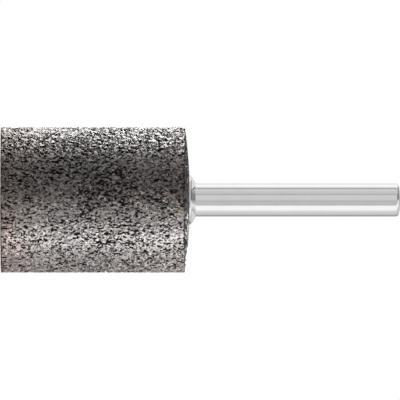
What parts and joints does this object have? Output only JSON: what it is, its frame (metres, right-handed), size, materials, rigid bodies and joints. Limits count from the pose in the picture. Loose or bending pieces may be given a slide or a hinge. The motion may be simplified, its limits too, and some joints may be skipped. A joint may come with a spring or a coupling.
{
  "type": "mounted point",
  "caption": "Grinding tool with a cylindrical bonded-abrasive head, slightly crowned at the back, cemented on a plain steel shank with a thin bevelled collar.",
  "frame": {"origin": "centre of the head's flat front face", "axes": "+Z along the shank, from the head's flat face towards the shank's tip"},
  "size_m": [0.0264, 0.0262, 0.0722],
  "materials": {
    "abrasive": "coarse open grain",
    "cement": "matte",
    "steel": "ground"
  },
  "bodies": {
    "root": {"abrasive_head": "abrasive", "bonding_cement": "cement", "shank": "steel"}
  },
  "joints": []
}
